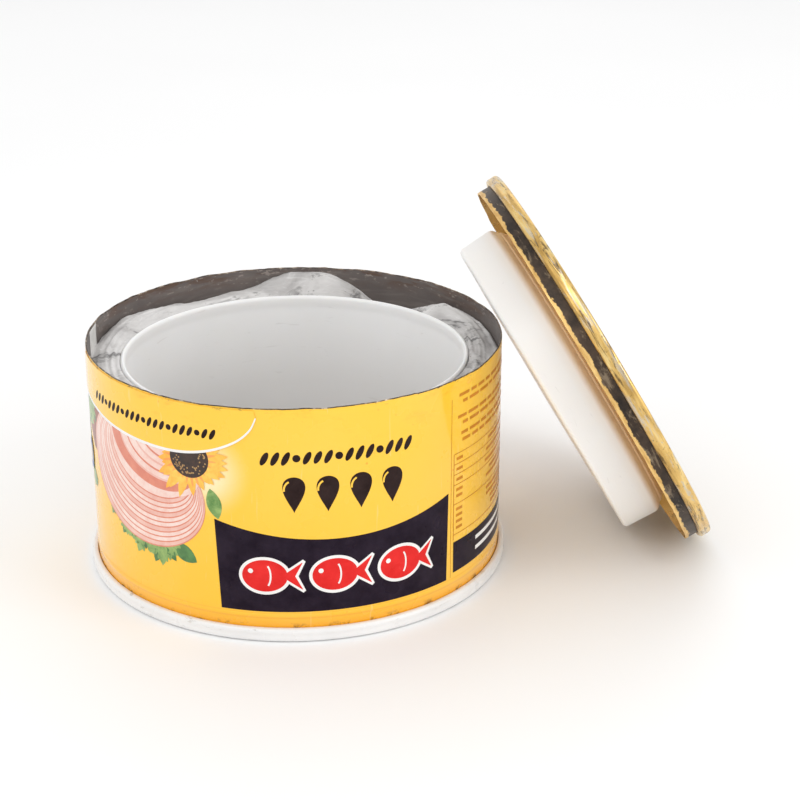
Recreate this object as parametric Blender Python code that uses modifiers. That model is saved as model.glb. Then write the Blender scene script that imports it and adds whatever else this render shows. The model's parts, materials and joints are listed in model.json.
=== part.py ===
"""Hidden money box made from a large food tin.

The tin stands upside down, so its printed top end is underneath and its cut base end is the lid. A plastic
cup is bedded in rough filler inside, and the lid carries a shallow white cap that drops into the cup. The lid
leans at the tin's right side. Metres, +Z up, origin at the bottom centre of the tin and lid together.
"""

import math

import bmesh
import bpy
from mathutils import Matrix, Vector, noise

MM = 0.001
GAP = 0.3 * MM
STEPS = 48

# Tin body
BODY_R = 63.5 * MM
WALL = 0.6 * MM
TIN_H = 72.0 * MM
SEAM_R = 65.5 * MM
SEAM_H = 4.0 * MM
SEAM_TOP = 0.9 * MM
COMPOUND = 0.5 * MM
COUNTERSINK = 4.6 * MM
CHUCK_R = 61.6 * MM
SHEET = 0.6 * MM
PRESS_R = 50.0 * MM
PRESS_H = 1.0 * MM

# Cup and filler
CUP_RIM_R = 53.4 * MM
CUP_FOOT_R = 49.0 * MM
CUP_RIM_Z = TIN_H - 6.5 * MM
CUP_FOOT_Z = 13.0 * MM
CUP_WALL = 1.0 * MM
FILL_R = 61.7 * MM
FILL_TOP_Z = 58.5 * MM
LUMP_Z = 64.6 * MM
LUMP_HALF_H = 3.4 * MM
LUMP_HALF_W = 3.3 * MM

# Lid, in its own frame: its outer seam face is at 0 and the plug hangs towards -Z
STRIP_END = 8.0 * MM
PLUG_NEAR = 5.9 * MM
PLUG_NECK_R = 46.8 * MM
PLUG_SHOULDER = 10.5 * MM
PLUG_FAR = 22.5 * MM
PLUG_R = 51.6 * MM
PLUG_FAR_R = 51.0 * MM
PLUG_WALL = 1.2 * MM
PLUG_BEVEL = 0.8 * MM
GLUE_R = 45.0 * MM
GLUE_H = 3.0 * MM

# How the lid leans
LID_LEAN = math.radians(30)
LID_YAW = math.radians(9)
LID_CLEAR = 0.5 * MM

WELD_ANGLE = math.radians(176)
WELD_WIDTH = 8.0 * MM


def clear_scene():
    for item in list(bpy.data.objects):
        bpy.data.objects.remove(item, do_unlink=True)


def collection(name):
    found = bpy.data.collections.get(name) or bpy.data.collections.new(name)
    if found.name not in bpy.context.scene.collection.children:
        bpy.context.scene.collection.children.link(found)
    return found


def material(name, colour, roughness, metallic=0.0):
    made = bpy.data.materials.new(name)
    made.use_nodes = True
    shader = made.node_tree.nodes["Principled BSDF"]
    shader.inputs["Base Color"].default_value = (*colour, 1)
    shader.inputs["Roughness"].default_value = roughness
    shader.inputs["Metallic"].default_value = metallic
    return made


def add_object(name, mesh, finish, parent):
    piece = bpy.data.objects.new(name, mesh)
    piece.data.materials.append(finish)
    piece.parent = parent
    PARTS.objects.link(piece)
    return piece


def turned(name, profile, finish, parent, closed=True):
    """A profile of (radius, height) points, top to bottom on its outer side, turned about Z."""
    mesh = bpy.data.meshes.new(name)
    count = len(profile)
    edges = [(i, i + 1) for i in range(count - 1)]
    if closed:
        edges.append((count - 1, 0))
    mesh.from_pydata([(r, 0, z) for r, z in profile], edges, [])
    piece = add_object(name, mesh, finish, parent)
    screw = piece.modifiers.new("turn", "SCREW")
    screw.axis = "Z"
    screw.steps = STEPS
    screw.render_steps = STEPS
    screw.use_merge_vertices = True
    screw.merge_threshold = 0.00001
    screw.use_smooth_shade = True
    return piece


def made_mesh(piece):
    """Turns an object's modifiers into plain mesh, so that its points can be moved."""
    bpy.context.view_layer.update()
    graph = bpy.context.evaluated_depsgraph_get()
    mesh = bpy.data.meshes.new_from_object(piece.evaluated_get(graph))
    piece.modifiers.clear()
    piece.data = mesh
    return mesh


def double_seam(name, finish, parent):
    """The hooked ring that clamps an end to the wall, opening towards -Z, with its face at 0."""
    return turned(
        name,
        [
            (SEAM_R - 0.5 * MM, 0),
            (SEAM_R, -0.7 * MM),
            (SEAM_R, -SEAM_H + 0.6 * MM),
            (SEAM_R - 0.6 * MM, -SEAM_H),
            (BODY_R + GAP, -SEAM_H),
            (BODY_R + GAP, -SEAM_TOP),
            (CHUCK_R + GAP, -SEAM_TOP),
            (CHUCK_R + GAP, -0.4 * MM),
            (CHUCK_R + 0.7 * MM, 0),
        ],
        finish,
        parent,
    )


def seam_compound(name, finish, parent):
    top = -SEAM_TOP - GAP
    return turned(
        name,
        [
            (BODY_R, top),
            (BODY_R, top - COMPOUND),
            (BODY_R - 1.0 * MM, top - COMPOUND),
            (BODY_R - 1.0 * MM, top),
        ],
        finish,
        parent,
    )


def end_panel(name, finish, parent):
    """A countersunk end with a chuck wall and a pressed ring, its outer face towards +Z."""
    deep = -COUNTERSINK
    outer = [
        (0, deep),
        (PRESS_R - 1 * MM, deep),
        (PRESS_R, deep + PRESS_H),
        (PRESS_R + 3 * MM, deep + PRESS_H),
        (PRESS_R + 4 * MM, deep),
        (CHUCK_R - 1.4 * MM, deep),
        (CHUCK_R - SHEET, -SEAM_TOP),
        (CHUCK_R, -SEAM_TOP),
    ]
    inner = [(r, z - SHEET) for r, z in outer[:-2]]
    return turned(
        name,
        outer + [(CHUCK_R, deep - 0.1 * MM), (CHUCK_R - 0.8 * MM, deep - SHEET)] + inner[-2::-1],
        finish,
        parent,
        closed=False,
    )


def wall_band(name, top, bottom, finish, parent):
    return turned(
        name,
        [(BODY_R, top), (BODY_R, bottom), (BODY_R - WALL, bottom), (BODY_R - WALL, top)],
        finish,
        parent,
    )


def weld_stripe(finish, parent):
    mesh = bpy.data.meshes.new("side_weld_stripe")
    shape = bmesh.new()
    bmesh.ops.create_cube(shape, size=1)
    low, high = SEAM_H + 2 * MM, TIN_H - 0.8 * MM
    bmesh.ops.scale(shape, vec=(0.3 * MM, WELD_WIDTH, high - low), verts=shape.verts)
    bmesh.ops.translate(shape, vec=(BODY_R - WALL - 0.65 * MM, 0, (low + high) / 2), verts=shape.verts)
    bmesh.ops.rotate(shape, cent=(0, 0, 0), matrix=Matrix.Rotation(WELD_ANGLE, 3, "Z"), verts=shape.verts)
    shape.to_mesh(mesh)
    shape.free()
    return add_object("side_weld_stripe", mesh, finish, parent)


def cup_outer_radius(z):
    """The cup's outer radius, which grows evenly from its foot to its rim."""
    share = (z - CUP_FOOT_Z) / (CUP_RIM_Z - CUP_FOOT_Z)
    return CUP_FOOT_R + share * (CUP_RIM_R - CUP_FOOT_R)


def cup(finish, parent):
    floor = CUP_FOOT_Z + CUP_WALL
    return turned(
        "inner_cup",
        [
            (0, floor),
            (CUP_FOOT_R - CUP_WALL - 3 * MM, floor),
            (CUP_FOOT_R - CUP_WALL, floor + 3 * MM),
            (CUP_RIM_R - CUP_WALL, CUP_RIM_Z),
            (CUP_RIM_R, CUP_RIM_Z),
            (CUP_FOOT_R + 0.1 * MM, CUP_FOOT_Z + 2 * MM),
            (CUP_FOOT_R - 2 * MM, CUP_FOOT_Z),
            (0, CUP_FOOT_Z),
        ],
        finish,
        parent,
        closed=False,
    )


def plaster_bed(finish, parent):
    low = COUNTERSINK + SHEET + GAP + 0.1 * MM
    high = CUP_FOOT_Z - GAP
    side = FILL_R - 2 * MM
    return turned(
        "plaster_bed",
        [(0, high), (side, high), (side, low + 1 * MM), (side - 2 * MM, low), (0, low)],
        finish,
        parent,
        closed=False,
    )


def plaster_ring(finish, parent):
    """Filler between cup and wall, its top rough and lower at the back right, where the wall shows."""
    low = CUP_FOOT_Z + 1 * MM
    inner = [(cup_outer_radius(z) + 2 * GAP, z) for z in (low, 0.5 * FILL_TOP_Z, FILL_TOP_Z - 1 * MM)]
    middle = (FILL_R + cup_outer_radius(FILL_TOP_Z)) / 2
    profile = [(middle, FILL_TOP_Z), (FILL_R, FILL_TOP_Z - 1 * MM), (FILL_R, low)] + inner
    piece = turned("plaster_ring", profile, finish, parent)
    for vertex in made_mesh(piece).vertices:
        if vertex.co.z > FILL_TOP_Z - 2 * MM:
            angle = math.atan2(vertex.co.y, vertex.co.x)
            dip = 9 * MM * math.exp(-(((angle - math.radians(48)) / 0.45) ** 2))
            rough = 1.2 * MM * (noise.noise(vertex.co * 160) - 0.9)
            vertex.co.z += rough - dip
    return piece


def plaster_lump(name, angle, half_length, finish, parent):
    """A rough lump lying along the gap between cup and wall, bent to its curve."""
    mesh = bpy.data.meshes.new(name)
    shape = bmesh.new()
    bmesh.ops.create_uvsphere(shape, u_segments=20, v_segments=10, radius=1)
    way = (FILL_R + CUP_RIM_R + GAP) / 2
    for vertex in shape.verts:
        x, y, z = vertex.co
        rough = 1 + 0.14 * noise.noise(vertex.co * 2.3 + Vector((angle, 0, 0))) - 0.1
        turn = math.radians(angle) + x * half_length / way
        reach = way - y * LUMP_HALF_W * rough
        height = LUMP_Z + z * LUMP_HALF_H * rough
        vertex.co = (reach * math.cos(turn), reach * math.sin(turn), height)
    shape.to_mesh(mesh)
    shape.free()
    mesh.shade_smooth()
    return add_object(name, mesh, finish, parent)


def glue_ring(finish, parent):
    top = -COUNTERSINK - SHEET - GAP
    return turned(
        "glue_ring",
        [
            (GLUE_R, top),
            (GLUE_R, top - GLUE_H),
            (GLUE_R - 3 * MM, top - GLUE_H),
            (GLUE_R - 4 * MM, top),
        ],
        finish,
        parent,
    )


def plug_cap(finish, parent):
    """A shallow cap with a bevelled edge, open towards the lid and drawn in to a neck there."""
    inside = PLUG_FAR - PLUG_WALL
    return turned(
        "plug_cap",
        [
            (0, -inside),
            (PLUG_FAR_R - PLUG_WALL - 1 * MM, -inside),
            (PLUG_FAR_R - PLUG_WALL, -inside + 1 * MM),
            (PLUG_R - PLUG_WALL, -PLUG_SHOULDER),
            (PLUG_NECK_R - PLUG_WALL, -PLUG_NEAR),
            (PLUG_NECK_R, -PLUG_NEAR),
            (PLUG_R, -PLUG_SHOULDER),
            (PLUG_FAR_R, -PLUG_FAR + PLUG_BEVEL),
            (PLUG_FAR_R - PLUG_BEVEL, -PLUG_FAR),
            (0, -PLUG_FAR),
        ],
        finish,
        parent,
        closed=False,
    )


def empty(name, parent, matrix):
    held = bpy.data.objects.new(name, None)
    held.parent = parent
    held.matrix_basis = matrix
    PARTS.objects.link(held)
    return held


def lid_place():
    """Where the lid leans: its lowest edge on the floor, its plug just clear of the tin's rim."""
    lean = Matrix.Rotation(LID_YAW, 4, "Z") @ Matrix.Rotation(math.pi / 2 - LID_LEAN, 4, "Y")
    on_seam = SEAM_R * math.cos(LID_LEAN) + SEAM_H * math.sin(LID_LEAN)
    on_strip = BODY_R * math.cos(LID_LEAN) + STRIP_END * math.sin(LID_LEAN)
    centre_z = max(on_seam, on_strip)
    drop = (TIN_H - centre_z) * math.sin(LID_LEAN)
    away = BODY_R + (PLUG_FAR + LID_CLEAR + drop) / math.cos(LID_LEAN)
    centre = Vector((away * math.cos(LID_YAW), away * math.sin(LID_YAW), centre_z))
    return Matrix.Translation(centre) @ lean


def centre_assembly(root):
    """Puts the origin at the bottom centre of the tin and lid together."""
    bpy.context.view_layer.update()
    graph = bpy.context.evaluated_depsgraph_get()
    points = []
    for piece in PARTS.objects:
        if piece.type == "MESH":
            points += [piece.matrix_world @ vertex.co for vertex in piece.evaluated_get(graph).data.vertices]
    for axis in (0, 1):
        reach = [point[axis] for point in points]
        root.location[axis] -= (min(reach) + max(reach)) / 2


clear_scene()
PARTS = collection("tin_money_box")

print_yellow = material("print_yellow", (0.95, 0.58, 0.06), 0.3)
white_enamel = material("white_enamel", (0.88, 0.88, 0.87), 0.3)
grey_lacquer = material("grey_lacquer", (0.3, 0.27, 0.26), 0.45)
gold_lacquer = material("gold_lacquer", (0.72, 0.5, 0.2), 0.3, 1)
cut_steel = material("cut_steel", (0.16, 0.13, 0.1), 0.5, 0.6)
compound = material("compound", (0.62, 0.6, 0.56), 0.7)
plaster = material("plaster", (0.68, 0.66, 0.63), 0.95)
white_plastic = material("white_plastic", (0.87, 0.87, 0.85), 0.4)
glue = material("glue", (0.8, 0.74, 0.6), 0.5)

tin = empty("tin_axis", None, Matrix.Identity(4))
lid = empty("lid_axis", tin, lid_place())
# The tin stands upside down, so its printed end faces down
printed_end = empty("printed_end", tin, Matrix.Rotation(math.pi, 4, "X"))

wall_foot = SEAM_TOP + 2 * GAP + COMPOUND
wall_band("body_wall", TIN_H, wall_foot, print_yellow, tin)
weld_stripe(white_enamel, tin)
double_seam("top_seam_ring", white_enamel, printed_end)
seam_compound("top_seam_compound", compound, printed_end)
end_panel("top_end_panel", print_yellow, printed_end)
plaster_bed(plaster, tin)
plaster_ring(plaster, tin)
plaster_lump("plaster_lump_left", 165, 30 * MM, plaster, tin)
plaster_lump("plaster_lump_back", 105, 20 * MM, plaster, tin)
plaster_lump("plaster_lump_right", 12, 17 * MM, plaster, tin)
cup(white_plastic, tin)

double_seam("base_seam_ring", gold_lacquer, lid)
seam_compound("base_seam_compound", compound, lid)
end_panel("base_end_panel", gold_lacquer, lid)
wall_band("cut_wall_strip", -wall_foot, -STRIP_END, cut_steel, lid)
glue_ring(glue, lid)
plug_cap(white_plastic, lid)

centre_assembly(tin)
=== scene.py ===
"""Looks of the tin money box: fine surfaces, print, filler, wear and studio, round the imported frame."""

import json
import math
import random

import bmesh
import bpy
from mathutils import Matrix, Vector, noise


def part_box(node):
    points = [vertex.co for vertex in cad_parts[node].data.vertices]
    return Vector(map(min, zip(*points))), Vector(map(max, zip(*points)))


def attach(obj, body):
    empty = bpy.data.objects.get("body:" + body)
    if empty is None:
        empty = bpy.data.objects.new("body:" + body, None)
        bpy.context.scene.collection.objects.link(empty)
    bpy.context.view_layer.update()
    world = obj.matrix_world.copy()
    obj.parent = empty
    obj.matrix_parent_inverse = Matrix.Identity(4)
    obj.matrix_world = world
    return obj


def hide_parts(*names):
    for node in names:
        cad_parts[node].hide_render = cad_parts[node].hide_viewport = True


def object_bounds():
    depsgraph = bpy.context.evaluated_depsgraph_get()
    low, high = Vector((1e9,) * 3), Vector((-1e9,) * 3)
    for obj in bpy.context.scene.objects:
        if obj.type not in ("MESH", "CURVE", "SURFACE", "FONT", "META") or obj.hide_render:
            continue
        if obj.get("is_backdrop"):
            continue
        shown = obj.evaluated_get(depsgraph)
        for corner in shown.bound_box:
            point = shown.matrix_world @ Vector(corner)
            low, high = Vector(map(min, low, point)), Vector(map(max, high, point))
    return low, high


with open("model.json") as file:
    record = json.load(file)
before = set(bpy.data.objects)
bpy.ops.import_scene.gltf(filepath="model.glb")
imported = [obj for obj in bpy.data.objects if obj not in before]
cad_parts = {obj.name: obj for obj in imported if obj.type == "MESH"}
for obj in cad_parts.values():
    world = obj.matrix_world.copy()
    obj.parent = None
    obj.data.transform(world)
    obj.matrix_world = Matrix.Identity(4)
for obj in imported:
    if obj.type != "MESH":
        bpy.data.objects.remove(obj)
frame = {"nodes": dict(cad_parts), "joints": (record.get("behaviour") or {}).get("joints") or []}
cad_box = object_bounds()

MM = 0.001
ROUND = 288
PRINT_LIFT = 0.03 * MM
PRINT_LAYER = 0.004 * MM
PRINT_STEP = 1.0


# ---------------------------------------------------------------- places taken from the frame


def middle(low, high):
    return (Vector(low) + Vector(high)) / 2


wall_low, wall_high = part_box("body_wall")
seam_low, seam_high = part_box("top_seam_ring")
cup_low, cup_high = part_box("inner_cup")
TIN_AT = Vector((middle(wall_low, wall_high).x, middle(wall_low, wall_high).y, 0))
WALL_R = (wall_high[0] - wall_low[0]) / 2
RIM_Z = wall_high[2]
SEAM_R = (seam_high[0] - seam_low[0]) / 2
SEAM_H = seam_high[2] - seam_low[2]
CUP_R = (cup_high[0] - cup_low[0]) / 2
CUP_LOW, CUP_RIM = cup_low[2], cup_high[2]
WALL_IN_R = WALL_R - 0.5 * MM
TIN_PLACE = Matrix.Translation(TIN_AT)

LID_AXIS = Vector(frame["joints"][0]["axis"]).normalized()
LID_SIDE = Vector((0, 0, 1)).cross(LID_AXIS).normalized()
lid_face = middle(*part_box("base_seam_ring")) + LID_AXIS * SEAM_H / 2
lid_turn = Matrix((LID_SIDE.cross(LID_AXIS), LID_SIDE, LID_AXIS)).transposed()
LID_PLACE = Matrix.Translation(lid_face) @ lid_turn.to_4x4()

CUP_FOOT_R = 49.0 * MM
STRIP_END = 8.0 * MM
PLUG_NEAR = 5.9 * MM
PLUG_NECK_R = 46.8 * MM
PLUG_SHOULDER = 10.5 * MM
PLUG_FAR = 22.5 * MM
PLUG_R = 51.6 * MM
PLUG_FAR_R = 51.0 * MM
CHUCK_R = 61.6 * MM
COUNTERSINK = 4.6 * MM


# ---------------------------------------------------------------- materials


class Paint:
    """A Principled material and short names for the nodes that feed it."""

    def __init__(self, name, roughness=0.5, metallic=0.0, **fixed):
        self.material = bpy.data.materials.new(name)
        self.material.use_nodes = True
        self.tree = self.material.node_tree
        self.shader = self.tree.nodes["Principled BSDF"]
        self.shader.inputs["Roughness"].default_value = roughness
        self.shader.inputs["Metallic"].default_value = metallic
        for name, value in fixed.items():
            self.shader.inputs[name.replace("_", " ")].default_value = value
        self.place = self.tree.nodes.new("ShaderNodeTexCoord").outputs["Object"]

    def put(self, socket, value):
        if isinstance(value, bpy.types.NodeSocket):
            self.tree.links.new(value, socket)
        elif isinstance(value, tuple) and len(value) == 3 and socket.type == "RGBA":
            socket.default_value = (*value, 1)
        else:
            socket.default_value = value

    def stretched(self, scale):
        node = self.tree.nodes.new("ShaderNodeMapping")
        self.put(node.inputs["Vector"], self.place)
        node.inputs["Scale"].default_value = scale
        return node.outputs["Vector"]

    def noise(self, scale, detail=4, rough=0.55, stretch=(1, 1, 1), twist=0.0):
        node = self.tree.nodes.new("ShaderNodeTexNoise")
        self.put(node.inputs["Vector"], self.stretched(stretch))
        node.inputs["Scale"].default_value = scale
        node.inputs["Detail"].default_value = detail
        node.inputs["Roughness"].default_value = rough
        node.inputs["Distortion"].default_value = twist
        return node.outputs["Fac"]

    def cells(self, scale, stretch=(1, 1, 1)):
        node = self.tree.nodes.new("ShaderNodeTexVoronoi")
        self.put(node.inputs["Vector"], self.stretched(stretch))
        node.inputs["Scale"].default_value = scale
        return node.outputs["Distance"]

    def ramp(self, value, *stops):
        node = self.tree.nodes.new("ShaderNodeValToRGB")
        self.put(node.inputs["Fac"], value)
        marks = node.color_ramp.elements
        while len(marks) < len(stops):
            marks.new(0.5)
        for mark, (at, colour) in zip(marks, stops):
            mark.position = at
            shade = colour if isinstance(colour, tuple) else (colour,) * 3
            mark.color = (*shade, 1)
        return node.outputs["Color"]

    def mix(self, share, first, second, kind="MIX"):
        node = self.tree.nodes.new("ShaderNodeMix")
        node.data_type = "RGBA"
        node.blend_type = kind
        self.put(node.inputs["Factor"], share)
        self.put([s for s in node.inputs if s.name == "A" and s.type == "RGBA"][0], first)
        self.put([s for s in node.inputs if s.name == "B" and s.type == "RGBA"][0], second)
        return [s for s in node.outputs if s.type == "RGBA"][0]

    def maths(self, kind, first, second=0.0):
        node = self.tree.nodes.new("ShaderNodeMath")
        node.operation = kind
        self.put(node.inputs[0], first)
        self.put(node.inputs[1], second)
        return node.outputs["Value"]

    def height(self, low, high):
        """0 at the low height, 1 at the high one, in the piece's own Z."""
        split = self.tree.nodes.new("ShaderNodeSeparateXYZ")
        self.put(split.inputs["Vector"], self.place)
        node = self.tree.nodes.new("ShaderNodeMapRange")
        self.put(node.inputs["Value"], split.outputs["Z"])
        node.inputs["From Min"].default_value = low
        node.inputs["From Max"].default_value = high
        return node.outputs["Result"]

    def near(self, point, reach):
        """1 at a point, falling to 0 at the reach."""
        away = self.tree.nodes.new("ShaderNodeVectorMath")
        away.operation = "DISTANCE"
        self.put(away.inputs[0], self.place)
        away.inputs[1].default_value = point
        node = self.tree.nodes.new("ShaderNodeMapRange")
        node.interpolation_type = "SMOOTHSTEP"
        self.put(node.inputs["Value"], away.outputs["Value"])
        node.inputs["From Min"].default_value = reach
        node.inputs["From Max"].default_value = 0
        return node.outputs["Result"]

    def bump(self, value, strength, depth):
        node = self.tree.nodes.new("ShaderNodeBump")
        node.inputs["Strength"].default_value = strength
        node.inputs["Distance"].default_value = depth
        self.put(node.inputs["Height"], value)
        if self.shader.inputs["Normal"].is_linked:
            self.put(node.inputs["Normal"], self.shader.inputs["Normal"].links[0].from_socket)
        self.put(self.shader.inputs["Normal"], node.outputs["Normal"])

    def colour(self, value):
        self.put(self.shader.inputs["Base Color"], value)

    def roughness(self, value):
        self.put(self.shader.inputs["Roughness"], value)


def on_wall(u, z, out=0.0):
    """A point of the print on the wall: u mm round from the front, z mm up, in the tin's frame."""
    turn = u * MM / WALL_R
    reach = WALL_R + out
    return Vector((reach * math.sin(turn), -reach * math.cos(turn), z * MM))


YELLOW_HIGH = (1.0, 0.6, 0.035)
YELLOW_LOW = (1.0, 0.56, 0.022)


def yellow_print(name, glow):
    """Glossy litho yellow, warmer near the floor, with a pale glow by the flower, specks, rubbed rim and
    painted shade lines along the pressed bead.
    """
    paint = Paint(name, 0.34, Coat_Weight=0.7, Coat_Roughness=0.1, Specular_IOR_Level=0.3)
    base = paint.mix(paint.height(6 * MM, 66 * MM), YELLOW_LOW, YELLOW_HIGH)
    cloud = paint.ramp(paint.noise(28, 3), (0.35, 0.0), (0.75, 1.0))
    base = paint.mix(paint.maths("MULTIPLY", cloud, 0.14), base, (1.0, 0.7, 0.2))
    for face in (0, math.pi * WALL_R / MM) if glow else ():
        base = paint.mix(paint.near(on_wall(face - 23.5, 51), 15 * MM), base, (1.0, 0.9, 0.6))
    specks = paint.ramp(paint.cells(260), (0.0, 1.0), (0.075, 1.0), (0.11, 0.0))
    thin = paint.ramp(paint.noise(40, 2), (0.56, 0.0), (0.64, 1.0))
    base = paint.mix(
        paint.maths("MULTIPLY", specks, paint.maths("MULTIPLY", thin, 0.55)), base, (0.85, 0.3, 0.01)
    )
    stain = paint.ramp(paint.noise(70, 6, 0.7, (1, 1, 2.2)), (0.56, 0.0), (0.7, 1.0))
    high = paint.ramp(paint.height(54 * MM, 71 * MM), (0.25, 0.0), (0.9, 1.0))
    base = paint.mix(
        paint.maths("MULTIPLY", stain, paint.maths("MULTIPLY", high, 0.5)), base, (0.93, 0.4, 0.02)
    )
    chips = paint.ramp(paint.noise(420, 3, 0.6, (1, 1, 1.6)), (0.6, 0.0), (0.66, 1.0))
    edge = paint.ramp(paint.height(70.2 * MM, 71.8 * MM), (0.1, 0.0), (0.9, 1.0))
    base = paint.mix(paint.maths("MULTIPLY", chips, edge), base, (0.14, 0.08, 0.04))
    warm = paint.ramp(paint.height(4.0 * MM, 10.5 * MM), (0.1, 1.0), (0.45, 0.35), (1.0, 0.0))
    base = paint.mix(paint.maths("MULTIPLY", warm, 0.6), base, (0.95, 0.36, 0.008))
    # Painted shade: two darker orange lines along the flanks of the pressed bead, standing in for its
    # shading.
    bead_shade_lines = paint.ramp(
        paint.height(4 * MM, 12 * MM),
        (0.3, 0.0),
        (0.36, 1.0),
        (0.42, 0.0),
        (0.52, 0.0),
        (0.55, 0.8),
        (0.58, 0.0),
    )
    base = paint.mix(paint.maths("MULTIPLY", bead_shade_lines, 0.4), base, (0.86, 0.3, 0.006))
    foot = paint.ramp(paint.height(4.0 * MM, 5.6 * MM), (0.0, 1.0), (0.9, 0.0))
    dirt = paint.ramp(paint.noise(190, 4, 0.7), (0.52, 0.0), (0.62, 1.0))
    base = paint.mix(paint.maths("MULTIPLY", foot, dirt), base, (0.3, 0.12, 0.01))
    scratch = paint.ramp(paint.noise(60, 2, 0.5, (14, 14, 1), 0.6), (0.70, 0.0), (0.74, 1.0))
    base = paint.mix(paint.maths("MULTIPLY", scratch, 0.18), base, (1.0, 0.86, 0.5))
    paint.colour(base)
    paint.roughness(paint.ramp(paint.noise(55, 4), (0.3, 0.2), (0.8, 0.38)))
    paint.bump(paint.noise(24, 2), 0.12, 0.4 * MM)
    return paint.material


def ink(name, colour, vary=0.16, roughness=0.3, grain=160):
    """A printed ink under the same varnish, a little uneven."""
    paint = Paint(name, roughness, Coat_Weight=0.0, Coat_Roughness=0.16, Specular_IOR_Level=0.1)
    shade = tuple(channel * (1 - vary) for channel in colour)
    light = tuple(min(1, channel * (1 + vary) + 0.01) for channel in colour)
    paint.colour(paint.ramp(paint.noise(grain, 5, 0.65), (0.3, shade), (0.7, light)))
    paint.roughness(paint.ramp(paint.noise(60, 3), (0.3, roughness - 0.06), (0.75, roughness + 0.1)))
    return paint.material


def flaked_ink(name, light, dark, stretch=(1, 1, 1), grain=300):
    """Ink for the food: fine uneven flakes between a light and a dark colour."""
    paint = Paint(name, 0.36, Coat_Weight=0.5, Coat_Roughness=0.16, Specular_IOR_Level=0.3)
    flakes = paint.noise(grain, 6, 0.7, stretch, 0.4)
    broad = paint.noise(90, 3)
    both = paint.maths("ADD", paint.maths("MULTIPLY", flakes, 0.6), paint.maths("MULTIPLY", broad, 0.4))
    paint.colour(paint.ramp(both, (0.38, dark), (0.6, light)))
    return paint.material


def inner_lacquer():
    """Taupe-grey lacquer inside the tin, smudged along, browned near the rim, with a few pale scratches."""
    paint = Paint("inner_lacquer", 0.42, 0.15, Coat_Weight=0.15, Coat_Roughness=0.3)
    base = paint.ramp(
        paint.noise(34, 5, 0.6, (1, 1, 1.8)), (0.3, (0.1, 0.083, 0.077)), (0.72, (0.18, 0.155, 0.145))
    )
    smear = paint.ramp(paint.noise(46, 5, 0.6, (1, 1, 7), 0.8), (0.5, 0.0), (0.66, 1.0))
    base = paint.mix(paint.maths("MULTIPLY", smear, 0.5), base, (0.24, 0.21, 0.19))
    high = paint.ramp(paint.height(64 * MM, 72 * MM), (0.2, 0.0), (1.0, 1.0))
    brown = paint.ramp(paint.noise(60, 5, 0.65, (1, 1, 5), 0.5), (0.46, 0.0), (0.58, 1.0))
    base = paint.mix(paint.maths("MULTIPLY", high, brown), base, (0.12, 0.065, 0.042))
    bright = paint.ramp(paint.noise(70, 2, 0.5, (7, 7, 1), 0.8), (0.73, 0.0), (0.75, 1.0))
    base = paint.mix(paint.maths("MULTIPLY", bright, 0.6), base, (0.5, 0.47, 0.44))
    nicks = paint.ramp(paint.noise(300, 4, 0.6, (1, 1, 2.4)), (0.6, 0.0), (0.64, 1.0))
    base = paint.mix(paint.maths("MULTIPLY", high, nicks), base, (0.36, 0.31, 0.28))
    paint.colour(base)
    paint.roughness(paint.ramp(paint.noise(80, 4), (0.3, 0.34), (0.75, 0.55)))
    paint.bump(paint.noise(40, 3), 0.25, 0.5 * MM)
    return paint.material


def rim_steel():
    """The cut edge of the wall: dark, with bright nicks."""
    paint = Paint("rim_steel", 0.4, 0.8)
    nicks = paint.noise(520, 3, 0.6)
    paint.colour(
        paint.ramp(nicks, (0.42, (0.05, 0.035, 0.028)), (0.6, (0.24, 0.18, 0.13)), (0.72, (0.7, 0.62, 0.5)))
    )
    paint.bump(nicks, 0.5, 0.2 * MM)
    return paint.material


def white_enamel():
    paint = Paint("white_enamel", 0.3, Coat_Weight=0.4, Coat_Roughness=0.15)
    base = paint.ramp(paint.noise(50, 4), (0.3, (0.8, 0.795, 0.79)), (0.75, (0.9, 0.895, 0.885)))
    scuffs = paint.ramp(paint.noise(150, 5, 0.7, (1, 1, 6)), (0.62, 0.0), (0.68, 1.0))
    base = paint.mix(paint.maths("MULTIPLY", scuffs, 0.55), base, (0.42, 0.38, 0.33))
    paint.colour(base)
    paint.roughness(paint.ramp(paint.noise(90, 4), (0.3, 0.22), (0.75, 0.42)))
    return paint.material


def plaster():
    """Filler pulled smooth: greyish white with drawn dark smudges, faint bubbles with painted shade in them,
    and dust.
    """
    paint = Paint("plaster", 0.85)
    broad = paint.noise(36, 5, 0.6, (1, 1, 1.5), 0.9)
    base = paint.ramp(
        broad, (0.3, (0.4, 0.385, 0.38)), (0.46, (0.6, 0.585, 0.575)), (0.64, (0.76, 0.745, 0.735))
    )
    smudge = paint.ramp(paint.noise(42, 5, 0.65, (1, 1.6, 2.5), 2.2), (0.54, 0.0), (0.64, 1.0))
    base = paint.mix(paint.maths("MULTIPLY", smudge, 0.8), base, (0.12, 0.115, 0.115))
    streak = paint.ramp(paint.noise(130, 4, 0.6, (1, 1, 3), 1.6), (0.6, 0.0), (0.68, 1.0))
    base = paint.mix(paint.maths("MULTIPLY", streak, 0.35), base, (0.86, 0.85, 0.84))
    pits = paint.ramp(paint.cells(420), (0.0, 1.0), (0.1, 1.0), (0.16, 0.0))
    some = paint.ramp(paint.noise(120, 2), (0.54, 0.0), (0.62, 1.0))
    pitted = paint.maths("MULTIPLY", pits, some)
    # Painted shade: the bubble pits are darkened in colour as if shadowed in their hollows, besides their
    # dents in the bump.
    base = paint.mix(paint.maths("MULTIPLY", pitted, 0.6), base, (0.22, 0.2, 0.19))
    paint.colour(base)
    paint.bump(paint.noise(240, 7, 0.65), 0.35, 0.4 * MM)
    paint.bump(paint.maths("SUBTRACT", 1.0, pitted), 0.4, 0.3 * MM)
    return paint.material


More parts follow.
